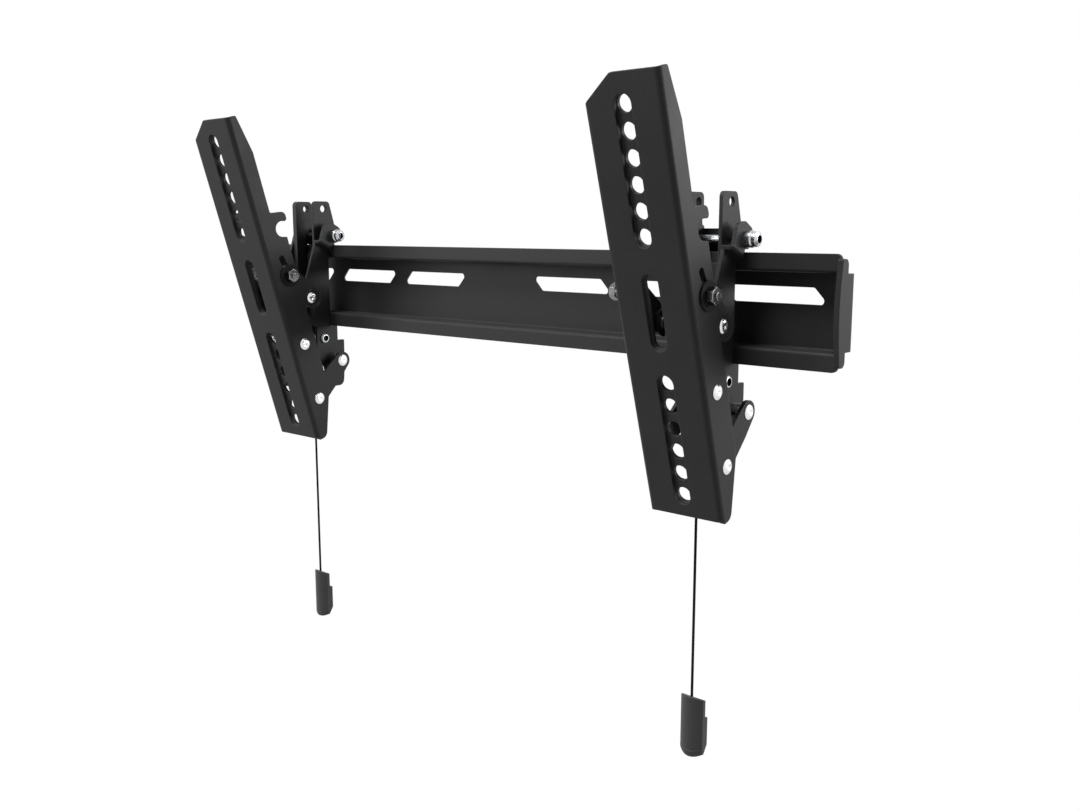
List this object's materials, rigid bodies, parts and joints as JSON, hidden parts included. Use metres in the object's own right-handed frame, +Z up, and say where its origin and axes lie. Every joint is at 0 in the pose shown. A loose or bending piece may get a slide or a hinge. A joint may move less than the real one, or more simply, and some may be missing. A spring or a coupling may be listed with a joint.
{
  "type": "tilting tv wall mount",
  "caption": "Low wall rail with hooked-on tilting arms; pressed hole tracks take the screen's screws and pull cords release the latches.",
  "frame": {"origin": "centre of the rail's back face, on the wall", "axes": "+X along the rail to the viewer's right, +Y into the wall, +Z up"},
  "size_m": [0.478, 0.1001, 0.3625],
  "materials": {
    "black_coat": "satin powder coat",
    "black_washer": "matte",
    "zinc": "zinc plated",
    "dull_steel": "plain steel",
    "bright_screw": "bright plated",
    "cord": "braided",
    "pull": "fine grain"
  },
  "bodies": {
    "rail": {"wall_rail": "black_coat"},
    "bracket_left": {"hook_bracket_left": "black_coat", "joggled_plate_left": "black_coat", "flat_plate_left": "black_coat", "link_rivets_left": "zinc", "link_spacers_left": "zinc", "friction_rivets_left": "zinc", "friction_spacers_left": "zinc", "guide_bolt_left": "bright_screw", "guide_nut_left": "zinc", "top_bolt_left": "bright_screw", "top_nut_left": "zinc", "latch_spring_left": "zinc"},
    "link_left": {"lower_link_a_left": "black_coat", "lower_link_b_left": "black_coat"},
    "arm_left": {"tv_arm_left": "black_coat", "arm_rivets_left": "zinc", "arm_washers_left": "zinc", "stop_bushes_left": "zinc", "stop_rivets_left": "zinc"},
    "friction_left": {"friction_link_a_left": "black_coat", "friction_link_b_left": "black_coat", "tilt_bolts_left": "dull_steel", "tilt_nuts_left": "dull_steel", "tilt_bush_left": "dull_steel", "tilt_washers_left": "black_washer"},
    "latch_left": {"latch_left": "black_coat", "pull_cord_left": "cord", "pull_handle_left": "pull"},
    "bracket_right": {"hook_bracket_right": "black_coat", "joggled_plate_right": "black_coat", "flat_plate_right": "black_coat", "link_rivets_right": "zinc", "link_spacers_right": "zinc", "friction_rivets_right": "zinc", "friction_spacers_right": "zinc", "guide_bolt_right": "bright_screw", "guide_nut_right": "zinc", "top_bolt_right": "bright_screw", "top_nut_right": "zinc", "latch_spring_right": "zinc"},
    "link_right": {"lower_link_a_right": "black_coat", "lower_link_b_right": "black_coat"},
    "arm_right": {"tv_arm_right": "black_coat", "arm_rivets_right": "zinc", "arm_washers_right": "zinc", "stop_bushes_right": "zinc", "stop_rivets_right": "zinc"},
    "friction_right": {"friction_link_a_right": "black_coat", "friction_link_b_right": "black_coat", "tilt_bolts_right": "dull_steel", "tilt_nuts_right": "dull_steel", "tilt_bush_right": "dull_steel", "tilt_washers_right": "black_washer"},
    "latch_right": {"latch_right": "black_coat", "pull_cord_right": "cord", "pull_handle_right": "pull"}
  },
  "joints": [
    {"name": "bracket_slide_left", "type": "slide", "parent": "rail", "child": "bracket_left", "axis": [1, 0, 0], "range_m": [-0.045, 0.1]},
    {"name": "link_swing_left", "type": "hinge", "parent": "bracket_left", "child": "link_left", "pos_m": [-0.1675, -0.0119, -0.0536], "axis": [1, 0, 0], "range_deg": [-1.9, 0]},
    {"name": "arm_tilt_left", "type": "hinge", "parent": "link_left", "child": "arm_left", "pos_m": [-0.1675, -0.03489, -0.07852], "axis": [1, 0, 0], "range_deg": [-14.1, 0]},
    {"name": "friction_swing_left", "type": "hinge", "parent": "bracket_left", "child": "friction_left", "pos_m": [-0.1675, -0.0357, -0.0075], "axis": [1, 0, 0], "range_deg": [-56.2, 0]},
    {"name": "latch_slide_left", "type": "slide", "parent": "bracket_left", "child": "latch_left", "axis": [0, 0, -1], "range_m": [0, 0.008], "stiffness_N_per_m": 900, "springref_m": -0.004, "deforming": ["latch_spring_left"]},
    {"name": "bracket_slide_right", "type": "slide", "parent": "rail", "child": "bracket_right", "axis": [1, 0, 0], "range_m": [-0.1, 0.045]},
    {"name": "link_swing_right", "type": "hinge", "parent": "bracket_right", "child": "link_right", "pos_m": [0.1675, -0.0119, -0.0536], "axis": [1, 0, 0], "range_deg": [-1.9, 0]},
    {"name": "arm_tilt_right", "type": "hinge", "parent": "link_right", "child": "arm_right", "pos_m": [0.1675, -0.03489, -0.07852], "axis": [1, 0, 0], "range_deg": [-14.1, 0]},
    {"name": "friction_swing_right", "type": "hinge", "parent": "bracket_right", "child": "friction_right", "pos_m": [0.1675, -0.0357, -0.0075], "axis": [1, 0, 0], "range_deg": [-56.2, 0]},
    {"name": "latch_slide_right", "type": "slide", "parent": "bracket_right", "child": "latch_right", "axis": [0, 0, -1], "range_m": [0, 0.008], "stiffness_N_per_m": 900, "springref_m": -0.004, "deforming": ["latch_spring_right"]}
  ],
  "couplings": [
    {"joint": "link_swing_left", "follows": "arm_tilt_left", "ratio": 0.1344},
    {"joint": "friction_swing_left", "follows": "arm_tilt_left", "ratio": 3.984},
    {"joint": "link_swing_right", "follows": "arm_tilt_right", "ratio": 0.1344},
    {"joint": "friction_swing_right", "follows": "arm_tilt_right", "ratio": 3.984}
  ]
}
